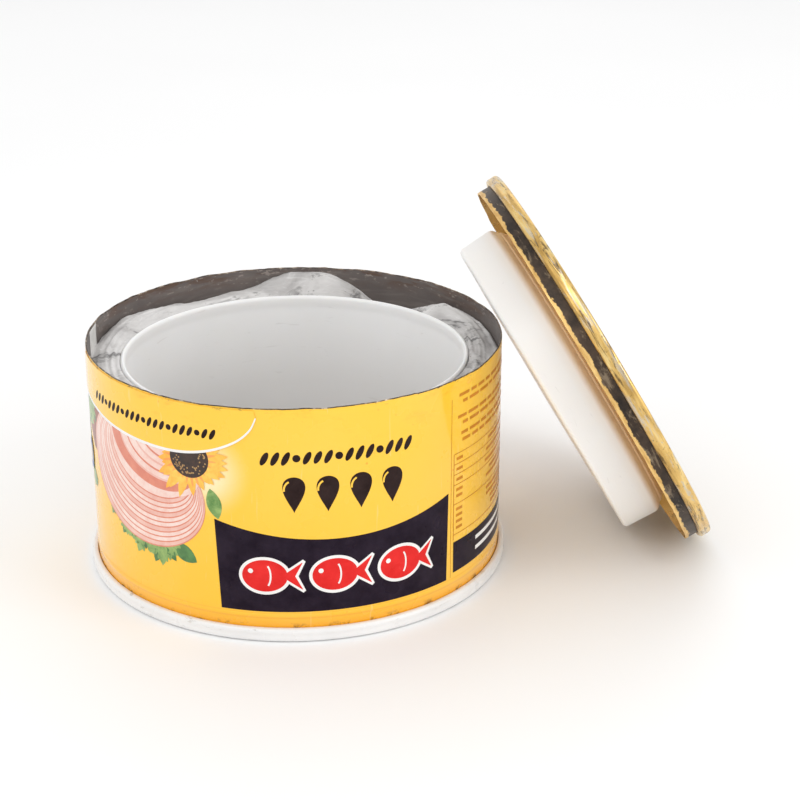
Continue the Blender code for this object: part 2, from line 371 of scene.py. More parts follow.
def smooth_plastic(name, colour, warm, glow=None, deep=None):
    """Thin moulded plastic with faint marks, with painted shade going to deep at a cup's floor and painted
    warm light going to glow near the lid.
    """
    paint = Paint(name, 0.36, Coat_Weight=0.15, Coat_Roughness=0.3, Subsurface_Weight=0.12)
    paint.shader.inputs["Subsurface Radius"].default_value = (2 * MM, 1.6 * MM, 1.2 * MM)
    paint.shader.inputs["Subsurface Scale"].default_value = 1.0
    base = paint.ramp(paint.noise(26, 4), (0.3, warm), (0.7, colour))
    marks = paint.ramp(paint.noise(110, 4, 0.6, (1, 1, 5), 0.8), (0.66, 0.0), (0.73, 1.0))
    base = paint.mix(paint.maths("MULTIPLY", marks, 0.22), base, (0.5, 0.47, 0.44))
    if deep:
        # Painted shade: a cup's colour darkens towards its floor to the deep colour.
        painted_floor_shade = paint.ramp(paint.height(14 * MM, 63 * MM), (0.0, 0.75), (0.45, 0.5), (0.85, 0.12), (1.0, 0.0))
        base = paint.mix(painted_floor_shade, base, deep)
    if glow:
        # Painted light: a warm peach reflection of the gold lid on the slope towards the plug's neck.
        slope = paint.height(-PLUG_SHOULDER - 4 * MM, -PLUG_NEAR)
        base = paint.mix(paint.ramp(slope, (0.0, 0.0), (0.3, 0.1), (0.52, 0.5), (1.0, 1.0)), base, glow)
    paint.colour(base)
    paint.roughness(paint.ramp(paint.noise(70, 4), (0.3, 0.3), (0.75, 0.46)))
    paint.bump(paint.noise(18, 2), 0.1, 0.5 * MM)
    return paint.material


def worn_gold():
    """Gold lacquer on bright tinplate, rubbed along the ring to silver and stained dark in streaks."""
    paint = Paint("worn_gold", 0.3, 0.9, Coat_Weight=0.2, Coat_Roughness=0.2)
    tone = paint.noise(70, 5, 0.6, (1, 1, 6), 0.4)
    base = paint.ramp(tone, (0.3, (0.5, 0.3, 0.08)), (0.52, (0.78, 0.52, 0.17)), (0.72, (0.95, 0.76, 0.36)))
    rubbed = paint.ramp(paint.noise(90, 6, 0.7, (1, 1, 9), 0.5), (0.54, 0.0), (0.6, 1.0))
    base = paint.mix(paint.maths("MULTIPLY", rubbed, 0.7), base, (0.58, 0.55, 0.48))
    dark = paint.ramp(paint.noise(75, 6, 0.7, (1, 1, 10), 0.8), (0.55, 0.0), (0.62, 1.0))
    base = paint.mix(paint.maths("MULTIPLY", dark, 0.8), base, (0.09, 0.055, 0.028))
    fine = paint.ramp(paint.noise(520, 3, 0.6), (0.64, 0.0), (0.7, 1.0))
    base = paint.mix(paint.maths("MULTIPLY", fine, 0.6), base, (0.1, 0.07, 0.04))
    paint.colour(base)
    paint.roughness(paint.ramp(paint.noise(140, 5, 0.7, (1, 1, 4)), (0.35, 0.2), (0.7, 0.48)))
    paint.bump(paint.noise(200, 5, 0.6, (1, 1, 3)), 0.3, 0.2 * MM)
    return paint.material


def gold_panel():
    """The end's gold lacquer: even, with fine hairlines and faint handling marks."""
    paint = Paint("gold_panel", 0.26, 0.95, Coat_Weight=0.25, Coat_Roughness=0.15)
    base = paint.ramp(paint.noise(20, 4), (0.3, (0.62, 0.4, 0.12)), (0.72, (0.8, 0.56, 0.22)))
    hair = paint.ramp(paint.noise(45, 3, 0.5, (24, 1, 1), 0.7), (0.63, 0.0), (0.67, 1.0))
    base = paint.mix(paint.maths("MULTIPLY", hair, 0.22), base, (0.9, 0.8, 0.6))
    spots = paint.ramp(paint.noise(90, 6, 0.7), (0.62, 0.0), (0.7, 1.0))
    base = paint.mix(paint.maths("MULTIPLY", spots, 0.5), base, (0.2, 0.12, 0.05))
    paint.colour(base)
    paint.roughness(paint.ramp(paint.noise(60, 4), (0.3, 0.2), (0.75, 0.38)))
    paint.bump(paint.noise(60, 3), 0.15, 0.4 * MM)
    return paint.material


def cut_strip():
    """The strip of wall left under the lid's seam: burnt brown-black, scraped, with a ragged gilt edge."""
    paint = Paint("cut_strip", 0.45, 0.55)
    base = paint.ramp(paint.noise(90, 5, 0.7), (0.35, (0.018, 0.013, 0.01)), (0.7, (0.1, 0.065, 0.042)))
    scrape = paint.ramp(paint.noise(110, 6, 0.75, (1, 1, 3), 0.6), (0.56, 0.0), (0.64, 1.0))
    base = paint.mix(paint.maths("MULTIPLY", scrape, 0.6), base, (0.34, 0.26, 0.17))
    stray = paint.maths("MULTIPLY", paint.noise(90, 7, 0.75, (1, 1, 2)), 1.3)
    edge = paint.maths(
        "ADD", paint.height(-STRIP_END, -STRIP_END + 3.2 * MM), paint.maths("SUBTRACT", stray, 0.48)
    )
    gilt = paint.ramp(
        paint.noise(140, 5, 0.7, (1, 1, 5)), (0.35, (0.62, 0.36, 0.1)), (0.65, (0.9, 0.62, 0.24))
    )
    base = paint.mix(paint.ramp(edge, (0.5, 1.0), (0.56, 0.0)), base, gilt)
    paint.colour(base)
    paint.bump(scrape, 0.35, 0.2 * MM)
    return paint.material


def soft_compound(name, light, dark):
    paint = Paint(name, 0.7)
    paint.colour(paint.ramp(paint.noise(140, 5), (0.35, dark), (0.7, light)))
    paint.bump(paint.noise(220, 5), 0.4, 0.3 * MM)
    return paint.material


def food_picture():
    """The end's own print: a soft brown and rose food picture inside a yellow band with a white line."""
    paint = Paint("food_picture", 0.3, Coat_Weight=0.5, Coat_Roughness=0.14)
    broad = paint.noise(36, 6, 0.6, (1, 1, 1), 1.4)
    food = paint.ramp(
        broad, (0.36, (0.06, 0.02, 0.012)), (0.5, (0.36, 0.12, 0.06)), (0.66, (0.76, 0.42, 0.28))
    )
    flat = paint.tree.nodes.new("ShaderNodeVectorMath")
    flat.operation = "MULTIPLY"
    paint.put(flat.inputs[0], paint.place)
    flat.inputs[1].default_value = (1, 1, 0)
    size = paint.tree.nodes.new("ShaderNodeVectorMath")
    size.operation = "LENGTH"
    paint.put(size.inputs[0], flat.outputs["Vector"])
    reach = paint.maths("DIVIDE", size.outputs["Value"], CHUCK_R)
    white = (0.86, 0.85, 0.83)
    band = paint.ramp(reach, (0.0, 0.0), (0.7, 0.0), (0.703, 1.0))
    line = paint.ramp(reach, (0.0, 0.0), (0.69, 0.0), (0.693, 1.0), (0.71, 1.0), (0.713, 0.0))
    outer = paint.ramp(reach, (0.0, 0.0), (0.86, 0.0), (0.865, 1.0))
    base = paint.mix(band, food, YELLOW_LOW)
    base = paint.mix(line, base, white)
    paint.colour(paint.mix(outer, base, white))
    paint.roughness(paint.ramp(paint.noise(60, 4), (0.3, 0.24), (0.75, 0.4)))
    return paint.material


def studio_floor():
    paint = Paint("studio_floor", 0.6)
    paint.colour(paint.ramp(paint.noise(3, 2), (0.3, (0.93, 0.93, 0.93)), (0.7, (0.95, 0.95, 0.95))))
    return paint.material


# ---------------------------------------------------------------- mesh helpers


def add_piece(name, points, faces, inks, marks, place, smooth=True, sharp=38):
    mesh = bpy.data.meshes.new(name)
    mesh.from_pydata(points, [], faces)
    for material in inks:
        mesh.materials.append(material)
    mesh.polygons.foreach_set("material_index", marks)
    if smooth:
        mesh.shade_smooth()
        mesh.set_sharp_from_angle(angle=math.radians(sharp))
    mesh.validate()
    mesh.update()
    piece = bpy.data.objects.new(name, mesh)
    piece.matrix_world = place
    bpy.context.scene.collection.objects.link(piece)
    return piece


def softened(profile, radius, closed, steps=4):
    """The profile with its corners rounded."""
    count = len(profile)
    made = []
    for i, corner in enumerate(profile):
        here = Vector(corner)
        if not closed and i in (0, count - 1):
            made.append(here)
            continue
        before = Vector(profile[i - 1]) - here
        after = Vector(profile[(i + 1) % count]) - here
        cut = min(radius, before.length * 0.45, after.length * 0.45)
        start = here + before.normalized() * cut
        end = here + after.normalized() * cut
        for step in range(steps + 1):
            t = step / steps
            made.append(start * (1 - t) ** 2 + here * 2 * t * (1 - t) + end * t**2)
    return [(point.x, point.y) for point in made]


def turned(name, profile, inks, place, closed=True, mark=None, shift=None, segments=ROUND):
    """Turns a (radius, height) profile about Z. mark gives a span's material, shift moves a point."""
    points, faces, marks = [], [], []
    rings = []
    for i, (radius, z) in enumerate(profile):
        ring = []
        if radius < 1e-7:
            points.append((0, 0, z))
            ring = [len(points) - 1] * segments
        else:
            for k in range(segments):
                angle = 2 * math.pi * k / segments
                point = Vector((radius * math.cos(angle), radius * math.sin(angle), z))
                points.append(shift(point, i, angle) if shift else point)
                ring.append(len(points) - 1)
        rings.append(ring)
    spans = len(profile) if closed else len(profile) - 1
    for i in range(spans):
        upper, lower = rings[i], rings[(i + 1) % len(profile)]
        for k in range(segments):
            following = (k + 1) % segments
            corners = [upper[k], lower[k], lower[following], upper[following]]
            corners = [c for n, c in enumerate(corners) if c not in corners[:n]]
            faces.append(corners)
            marks.append(mark(profile[i], profile[(i + 1) % len(profile)]) if mark else 0)
    return add_piece(name, points, faces, inks, marks, place)


# ---------------------------------------------------------------- the tin


def bead(z):
    """A slight pressed ridge low on the wall."""
    return 0.22 * MM * math.exp(-(((z - 7.6 * MM) / (0.9 * MM)) ** 2))


def ragged(angle, size):
    """How far the cut edge strays at this angle."""
    spot = Vector((math.cos(angle), math.sin(angle), 0.3))
    return size * (noise.noise(spot * 7) + 0.5 * noise.noise(spot * 31))


def tin_wall(outside, inside, edge):
    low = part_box("body_wall")[0][2]
    top = RIM_Z - 0.25 * MM
    heights = [top - (top - 12 * MM) * i / 24 for i in range(25)]
    heights += [(12 - 0.4 * i) * MM for i in range(1, 20)] + [low]
    outer = [(WALL_R - 0.02 * MM + bead(z), z) for z in heights]
    inner = [(WALL_IN_R, z) for z in (low, 30 * MM, RIM_Z - 2 * MM, top)]
    crown = [(WALL_R - 0.12 * MM, RIM_Z), (WALL_R - 0.3 * MM, RIM_Z)]
    profile = [crown[1], crown[0]] + outer + inner

    def mark(first, second):
        if min(first[1], second[1]) >= top - 1e-9:
            return 2
        return 0 if min(first[0], second[0]) > WALL_R - 0.2 * MM else 1

    def shift(point, i, angle):
        if point.z > RIM_Z - 0.3 * MM:
            point.z += min(0, ragged(angle, 0.35 * MM) - 0.15 * MM)
        return point

    piece = turned("tin_wall", profile, [outside, inside, edge], TIN_PLACE, True, mark, shift)
    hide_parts("body_wall")
    return piece


def seam(name, finish, place, flip=1):
    """A rounded double seam with its face at 0, opening towards -Z, a little uneven from the rolls."""
    profile = [
        (SEAM_R - 0.5 * MM, 0),
        (SEAM_R, -0.8 * MM),
        (SEAM_R - 0.15 * MM, -SEAM_H / 2),
        (SEAM_R, -SEAM_H + 0.9 * MM),
        (SEAM_R - 0.6 * MM, -SEAM_H),
        (WALL_R + 0.1 * MM, -SEAM_H),
        (WALL_R + 0.1 * MM, -0.9 * MM),
        (CHUCK_R + 0.1 * MM, -0.9 * MM),
        (CHUCK_R - 0.2 * MM, -2.6 * MM),
        (CHUCK_R - 0.5 * MM, -2.6 * MM),
        (CHUCK_R + 0.2 * MM, -0.4 * MM),
        (CHUCK_R + 0.8 * MM, 0),
    ]

    def shift(point, i, angle):
        spot = Vector((math.cos(angle), math.sin(angle), 0))
        dent = 0.1 * MM * noise.noise(spot * 9 + Vector((flip, 0, 0)))
        return point * (1 + dent / SEAM_R) if point.z < -0.3 * MM else point

    return turned(name, softened(profile, 0.45 * MM, True), [finish], place, True, None, shift)


def end_sheet(name, finishes, place, steps):
    """A countersunk end with its chuck wall and pressed rings; steps are the pressed rings' inner radii."""
    deep = -COUNTERSINK
    face = [(0, deep), (12 * MM, deep), (30 * MM, deep)]
    for radius in steps:
        face += [
            (radius, deep),
            (radius + 0.8 * MM, deep + 0.8 * MM),
            (radius + 3.0 * MM, deep + 0.8 * MM),
            (radius + 3.8 * MM, deep),
        ]
    face += [
        (CHUCK_R - 2.2 * MM, deep), (CHUCK_R - 1.0 * MM, deep + 0.6 * MM), (CHUCK_R - 0.4 * MM, -1.0 * MM)
    ]
    back = [(max(0, r - 0.3 * MM), z - 0.45 * MM) for r, z in face[::-1]]
    profile = softened(face, 0.7 * MM, False) + back
    return turned(name, profile, finishes, place, False)


def swell(angle, at, width):
    """A soft hill of 1 at an angle about the tin, both in degrees."""
    gap = (math.degrees(angle) - at + 180) % 360 - 180
    return math.exp(-((gap / width) ** 2))


def fill_height(angle):
    """How high the filler stands against the wall, by the angle about the tin."""
    high = 63.6 + 6.6 * swell(angle, 90, 17) + 2.6 * swell(angle, 34, 14) + 2.2 * swell(angle, 150, 26)
    return (high - 7.0 * swell(angle, 60, 9.5) + 0.8 * math.sin(5 * angle)) * MM


def rough_filler(finish):
    """The filler between cup and wall, smeared flush with the cup's rim and drawn up the wall in waves."""
    outer_r = WALL_IN_R - 0.15 * MM
    across, around = 26, 540
    points, faces = [], []

    def cup_side(z):
        share = max(0, min(1, (z - CUP_LOW) / (CUP_RIM - CUP_LOW)))
        return CUP_FOOT_R + share * (CUP_R - CUP_FOOT_R) + 0.2 * MM

    for k in range(around):
        angle = 2 * math.pi * k / around
        crown = fill_height(angle)
        flush = CUP_RIM - 0.7 * MM - 3.5 * MM * swell(angle, 60, 11)
        for j in range(across):
            t = j / (across - 1)
            rise = t * t * (3 - 2 * t)
            z = flush + (crown - flush) * rise
            z += 3.4 * MM * math.sin(math.pi * min(1, t * 1.05)) * swell(angle, 34, 14)
            z += 1.1 * MM * math.sin(math.pi * t) * swell(angle, 150, 34)
            radius = cup_side(z) + (outer_r - 0.3 * MM * (1 - t) - cup_side(z)) * t
            spot = Vector((radius * math.cos(angle), radius * math.sin(angle), z))
            pull = noise.fractal(spot * 70, 1.0, 2.1, 4)
            grain = noise.fractal(spot * 420, 0.9, 2.2, 3)
            drag = noise.noise(Vector((angle * 3, t * 9, 4)))
            free = min(1, 0.15 + 5 * t)
            z += (1.0 * MM * pull + 0.7 * MM * drag + 0.12 * MM * grain) * free
            z = min(z, RIM_Z - 1.6 * MM)
            if t < 0.1:
                z = min(z, CUP_RIM - 0.5 * MM)
            points.append((radius * math.cos(angle), radius * math.sin(angle), z))
    top = len(points)
    low = CUP_LOW + 1 * MM
    for k in range(around):
        angle = 2 * math.pi * k / around
        for radius in (cup_side(low), outer_r):
            points.append((radius * math.cos(angle), radius * math.sin(angle), low))
    for k in range(around):
        following = (k + 1) % around
        here, there = k * across, following * across
        for j in range(across - 1):
            faces.append((here + j, here + j + 1, there + j + 1, there + j))
        foot, next_foot = top + 2 * k, top + 2 * following
        faces.append((here, there, next_foot, foot))
        faces.append((here + across - 1, foot + 1, next_foot + 1, there + across - 1))
        faces.append((foot, next_foot, next_foot + 1, foot + 1))
    piece = add_piece("rough_filler", points, faces, [finish], [0] * len(faces), TIN_PLACE, True, 75)
    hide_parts("plaster_ring", "plaster_lump_left", "plaster_lump_back", "plaster_lump_right")
    return piece


def money_cup(finish):
    """The thin cup: a rolled lip a little out of round, a soft inner corner and a faint ring in its floor."""
    wall = 1.0 * MM
    foot = CUP_FOOT_R
    floor = CUP_LOW + 1.0 * MM
    profile = [
        (0, floor),
        (20 * MM, floor),
        (21 * MM, floor + 0.3 * MM),
        (23 * MM, floor + 0.3 * MM),
        (24 * MM, floor),
        (foot - wall - 4 * MM, floor),
        (foot - wall - 1 * MM, floor + 1.2 * MM),
        (foot - wall, floor + 4 * MM),
        (CUP_R - wall - 0.4 * MM, CUP_RIM - 4 * MM),
        (CUP_R - 1.65 * MM, CUP_RIM - 2.2 * MM),
        (CUP_R - 1.65 * MM, CUP_RIM - 0.7 * MM),
        (CUP_R - 0.9 * MM, CUP_RIM + 0.1 * MM),
        (CUP_R - 0.1 * MM, CUP_RIM - 0.5 * MM),
        (foot, CUP_LOW + 2 * MM),
        (foot - 2 * MM, CUP_LOW),
        (0, CUP_LOW),
    ]

    def shift(point, i, angle):
        share = max(0, (point.z - floor) / (CUP_RIM - floor))
        bend = 1 + share * 0.004 * math.sin(2 * angle + 0.6) + share * 0.0015 * math.sin(5 * angle)
        return Vector((point.x * bend, point.y * bend, point.z))

    piece = turned("money_cup", softened(profile, 0.8 * MM, False), [finish], TIN_PLACE, False, None, shift)
    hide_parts("inner_cup")
    return piece


def weld_stripe(finish):
    """The lacquer stripe over the weld inside the wall, curved to it, with wavering edges."""
    start, end = math.radians(172.5), math.radians(180.5)
    points, faces = [], []
    rows, columns = 60, 10
    for row in range(rows + 1):
        z = 10 * MM + (RIM_Z - 10.6 * MM) * row / rows
        stray = math.radians(0.35) * noise.noise(Vector((0, 0, z * 260)))
        for column in range(columns + 1):
            angle = start + (end - start) * column / columns + stray
            lift = 0.05 * MM + 0.12 * MM * math.sin(math.pi * column / columns)
            radius = WALL_IN_R - lift
            points.append((radius * math.cos(angle), radius * math.sin(angle), z))
    width = columns + 1
    for row in range(rows):
        for column in range(columns):
            corner = row * width + column
            faces.append((corner, corner + width, corner + width + 1, corner + 1))
    piece = add_piece("weld_lacquer", points, faces, [finish], [0] * len(faces), TIN_PLACE)
    thick = piece.modifiers.new("thickness", "SOLIDIFY")
    thick.thickness = 0.04 * MM
    thick.offset = 1
    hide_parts("side_weld_stripe")
    return piece


# ---------------------------------------------------------------- the print on the wall


def wall_normal(point):
    """Which way the wall faces at a point of the print."""
    step = 0.1 * MM
    slope = (bead(point.z + step) - bead(point.z - step)) / (2 * step)
    return Vector((*Vector((point.x, point.y)).normalized(), -slope)).normalized()


class Print:
    """Flat inks wrapped on the wall. Shapes are in millimetres: u round from the front, z up."""

    def __init__(self):
        self.points, self.faces, self.marks, self.inks = [], [], [], []

    def lay(self, corners, faces, finish, layer):
        if finish not in self.inks:
            self.inks.append(finish)
        sheet = bmesh.new()
        made = [sheet.verts.new((u, z, 0)) for u, z in corners]
        for face in faces:
            sheet.faces.new([made[i] for i in face])
        sheet.normal_update()
        bmesh.ops.triangulate(sheet, faces=sheet.faces[:], ngon_method="EAR_CLIP")
        low, high = min(u for u, z in corners), max(u for u, z in corners)
        cuts = [((i * PRINT_STEP, 0, 0), (1, 0, 0)) for i in range(
            math.ceil(low / PRINT_STEP), math.ceil(high / PRINT_STEP)
        )]
        if min(z for u, z in corners) < 10.5:
            cuts += [((0, 4.9 + 0.45 * i, 0), (0, 1, 0)) for i in range(13)]
        for at, way in cuts:
            everything = sheet.verts[:] + sheet.edges[:] + sheet.faces[:]
            bmesh.ops.bisect_plane(sheet, geom=everything, dist=1e-5, plane_co=at, plane_no=way)
        sheet.normal_update()
        start = len(self.points)
        for number, vertex in enumerate(sheet.verts):
            vertex.index = number
            z = vertex.co.y
            out = PRINT_LIFT + layer * PRINT_LAYER + bead(z * MM)
            self.points.append(on_wall(vertex.co.x, z, out))
        for face in sheet.faces:
            ring = [start + vertex.index for vertex in face.verts]
            self.faces.append(ring if face.normal.z > 0 else ring[::-1])
            self.marks.append(self.inks.index(finish))
        sheet.free()

    def shape(self, outline, finish, layer):
        self.lay(outline, [list(range(len(outline)))], finish, layer)

    def ribbon(self, path, width, finish, layer):
        """A stroke along a path; width is a number or a function of the share along it."""
        corners = []
        for i, point in enumerate(path):
            before = Vector(path[max(0, i - 1)])
            after = Vector(path[min(len(path) - 1, i + 1)])
            way = (after - before).normalized()
            side = Vector((-way.y, way.x))
            half = (width(i / (len(path) - 1)) if callable(width) else width) / 2
            corners += [tuple(Vector(point) + side * half), tuple(Vector(point) - side * half)]
        faces = [[2 * i, 2 * i + 1, 2 * i + 3, 2 * i + 2] for i in range(len(path) - 1)]
        self.lay(corners, faces, finish, layer)

    def done(self):
        piece = add_piece("label_print", self.points, self.faces, self.inks, self.marks, TIN_PLACE, False)
        piece.data.shade_smooth()
        piece.data.normals_split_custom_set_from_vertices(
            [wall_normal(vertex.co) for vertex in piece.data.vertices]
        )
        return piece


def tilted(u, z, x, y, turn):
    """A point x, y of a shape at u, z that is turned about there."""
    along = u + x * math.cos(turn) - y * math.sin(turn)
    return along, z + x * math.sin(turn) + y * math.cos(turn)


def oval(u, z, a, b, count=48, tilt=0.0, first=0.0, last=360.0):
    """Points round an ellipse, or along part of one."""
    made = []
    turn = math.radians(tilt)
    for k in range(count + (last - first < 360)):
        angle = math.radians(first + (last - first) * k / count)
        x, y = a * math.cos(angle), b * math.sin(angle)
        made.append(tilted(u, z, x, y, turn))
    return made


def plain_fish(u, z, length, grow):
    """A plain side-on fish, swimming left, enlarged all round by grow."""
    half, tall = length / 2, length * 0.29
    body = oval(u - length * 0.12, z, length * 0.38 + grow, tall + grow, 40, 0, 16, 344)
    root = u + length * 0.24
    back = u + half + grow
    fin = [
        (root, -0.22 * tall - grow * 0.9),
        (back - 0.8 * grow, -0.86 * tall - grow),
        (back, -0.8 * tall - grow * 0.6),
    ]
    notch = [(back - 0.12 * length, 0)]
    tail = fin + notch + [(x, -y) for x, y in fin[::-1]]
    return body + [(x, z + y) for x, y in tail]


def drop(u, z, wide, tall):
    """A plain oil drop, its tip towards the floor as the label is upside down."""
    made = []
    for k in range(48):
        angle = 2 * math.pi * k / 48
        taper = math.sin(angle / 2) ** 1.5
        made.append((u + wide * 0.62 * math.sin(angle) * taper, z - tall / 2 * math.cos(angle)))
    return made


def lozenge_row(label, start, end, z_start, z_end, count, size, finish, layer, seed):
    """A row of small slanted lozenges and dots, where the label had words."""
    draw = random.Random(seed)
    slope = math.degrees(math.atan2(z_end - z_start, end - start))
    for i in range(count):
        t = (i + 0.5) / count
        u, z = start + (end - start) * t, z_start + (z_end - z_start) * t
        if i % 4 == 3:
            label.shape(oval(u, z, size * 0.34, size * 0.34, 20), finish, layer)
        else:
            label.shape(
                oval(u, z, size * (0.62 + 0.1 * draw.random()), size * 0.27, 20, 62 + slope), finish, layer
            )


def leaf(u, z, long, wide, tilt):
    """A plain pointed leaf."""
    turn = math.radians(tilt)
    made = []
    for side in (1, -1):
        for k in range(9):
            t = k / 9 if side > 0 else 1 - k / 9
            x, y = long * (t - 0.5), side * wide / 2 * math.sin(math.pi * t) ** 0.8
            made.append(tilted(u, z, x, y, turn))
    return made


def sprig(label, u, z, size, tilt, light, dark, layer, seed):
    """A fan of small pointed leaves on a stalk."""
    draw = random.Random(seed)
    for k in range(9):
        spread = tilt - 76 + 19 * k + 9 * draw.random()
        turn = math.radians(spread)
        long = size * (0.75 + 0.5 * draw.random())
        at = (u + long * 0.5 * math.cos(turn), z + long * 0.5 * math.sin(turn))
        label.shape(leaf(*at, long, long * 0.42, spread), dark if k % 3 == 1 else light, layer + k % 3)
        for side in (-34, 34):
            bent = math.radians(spread + side)
            tip = (at[0] + size * 0.26 * math.cos(bent), at[1] + size * 0.26 * math.sin(bent))
            label.shape(leaf(*tip, size * 0.42, size * 0.2, spread + side), light, layer + k % 3)


def smooth_path(points, steps=10):
    """A smooth curve through the points."""
    made = []
    for i in range(len(points) - 1):
        before = Vector(points[max(0, i - 1)])
        start, end = Vector(points[i]), Vector(points[i + 1])
        after = Vector(points[min(len(points) - 1, i + 2)])
        for step in range(steps):
            t = step / steps
            made.append(
                tuple(
                    0.5
                    * (
                        2 * start
                        + (end - before) * t
                        + (2 * before - 5 * start + 4 * end - after) * t**2
                        + (3 * start - before - 3 * end + after) * t**3
                    )
                )
            )
    made.append(tuple(points[-1]))
    return made


SWOOSH = [(-90, 57.5), (-84, 58.4), (-74, 57.9), (-61, 56.6), (-45, 55.8), (-32, 56.0)]
SWOOSH += [(-22, 57.8), (-14, 61.2), (-9.5, 65.0), (-7.5, 69.0)]


def sliced_fish(label, shift, inks):
    """The food picture: a rolled stack of slices, a half flower and herbs, under the swoosh."""
    rose, deep, pale, herb, dark_herb, petal, petal_shade, seeds, seed_ring, board = inks
    planks = [(-85, 57.5), (-58, 57), (-56, 46), (-66, 42), (-77, 43), (-82, 48)]
    label.shape([(shift + u, z) for u, z in planks], board, 0)
    for u, z, size, tilt, seed in [
        (-46, 28.5, 8.5, 268, 3),
        (-53, 30.0, 8.0, 236, 9),
        (-39, 27.0, 7.5, 300, 5),
        (-60, 33.0, 6.0, 220, 10),
        (-85, 49.0, 9.0, 100, 21),
        (-84, 42.0, 8.0, 200, 26),
        (-79, 58.0, 6.5, 250, 31),
        (-80, 34.5, 5.5, 230, 33),
        (-55, 58.4, 5.0, 262, 14),
    ]:
        sprig(label, shift + u, z, size, tilt, herb, dark_herb, 1, seed)
    label.shape(leaf(shift - 31, 24.2, 9.5, 5.2, -28), dark_herb, 1)
    label.shape(leaf(shift - 20.6, 41.6, 9.5, 4.6, 104), herb, 1)
    centre_u, centre_z = shift - 49.0, 42.8
    for i in range(11):
        a, b = 26 - 0.95 * i, 18.9 - 0.92 * i
        u, z = centre_u + 0.5 * i, centre_z + 0.72 * i
        label.shape(oval(u, z, a, b, 72, -14), deep, 4 + 2 * i)
        label.shape(oval(u + 0.06, z + 0.22, a - 0.22, b - 0.2, 72, -14), pale if i % 3 else rose, 5 + 2 * i)
    label.shape(oval(centre_u + 6.4, centre_z + 9.6, 18.4, 10.4, 60, -16), pale, 26)
    label.shape(oval(centre_u + 6.0, centre_z + 10.2, 17.4, 9.6, 60, -16), deep, 27)
    for i in range(4):
        a, b = 15.4 - 2.2 * i, 8.4 - 1.3 * i
        u, z = centre_u + 8.6 + 1.2 * i, centre_z + 11.6 + 0.8 * i
        label.shape(oval(u, z, a, b, 60, -14), deep if i % 2 else rose, 28 + 2 * i)
        label.shape(oval(u + 0.1, z + 0.3, a - 0.4, b - 0.35, 60, -14), pale, 29 + 2 * i)
    flower_u, flower_z = shift - 28.0, 54.6
    for ring, (reach, count, finish) in enumerate(
        [(13.2, 17, petal), (12.0, 19, petal), (8.8, 26, petal_shade)]
    ):
        for k in range(count):
            tilt = 360 * (k + 0.5 * ring) / count
            turn = math.radians(tilt)
            tip = reach * (0.9 + 0.14 * math.sin(5.3 * k + ring))
            mid_u = flower_u + tip * 0.55 * math.cos(turn)
            mid_z = flower_z + tip * 0.55 * math.sin(turn)
            thick = 2.9 if ring < 2 else 1.0
            label.shape(leaf(mid_u, mid_z, tip * 0.92, thick, tilt), finish, 36 + 2 * ring + k % 2)
    label.shape(oval(flower_u, flower_z, 6.3, 6.0, 48), seeds, 42)
    draw = random.Random(41)
    for k in range(90):
        angle, reach = 6.283 * draw.random(), 2.9 + 2.7 * draw.random()
        spot = (flower_u + reach * math.cos(angle), flower_z + 0.95 * reach * math.sin(angle))
        label.shape(oval(*spot, 0.26, 0.26, 8), seed_ring, 43)


def label_face(label, shift, yellow, dark, red, white, brown, blue, cream, food):
    """One printed face: the food picture, the swoosh, the dark panel of fish and the rows of marks."""
    sliced_fish(label, shift, food)
    for a, b, finish, layer in ((4.0, 5.4, white, 44), (3.4, 4.8, blue, 45), (2.0, 3.0, cream, 46)):
        label.shape(oval(shift - 84.5, 38.0, a, b, 40), finish, layer)
    swoosh = smooth_path([(shift + u, z) for u, z in SWOOSH])
    label.shape(swoosh + [(shift - 8, 71.2), (shift - 90, 71.2)], yellow, 47)
    label.ribbon(swoosh, lambda t: 0.9 - 0.55 * t**3, white, 48)
    lozenge_row(label, shift - 71, shift - 19, 62.4, 63.0, 22, 2.6, brown, 49, 7)

    # The dark panel, its upper edge hollow, with three plain fish
    left, right, low, high = shift - 20.7, shift + 52.0, 8.9, 37.0
    count = 30
    upper = []
    for i in range(count + 1):
        t = i / count
        upper.append((left + (right - left) * t, high - 5.4 * (1 - (2 * t - 1) ** 2)))
    label.shape([(left + 1.2, low), (right - 0.6, low)] + upper[::-1], dark, 1)
    for k in range(3):
        u = shift - 4.2 + 20.2 * k
        label.shape(plain_fish(u, 20.4, 17.4, 0.95), white, 3)
        label.shape(plain_fish(u, 20.4, 17.4, 0.0), red, 4)
        label.shape(oval(u - 6.2, 21.8, 0.75, 0.75, 20), white, 5)
        label.ribbon(oval(u - 2.0, 20.4, 1.6, 3.6, 16, 0, -60, 60), 0.5, white, 5)
    for k in range(4):
        label.shape(drop(shift + 2.6 + 9.6 * k, 45.8, 7.4, 11.0), brown, 1)
        label.ribbon(oval(shift + 2.0 + 9.6 * k, 47.4, 2.2, 2.6, 16, 0, 110, 190), 0.55, yellow, 2)
    lozenge_row(label, shift - 7, shift + 38, 56.8, 57.6, 15, 3.3, brown, 1, 12)


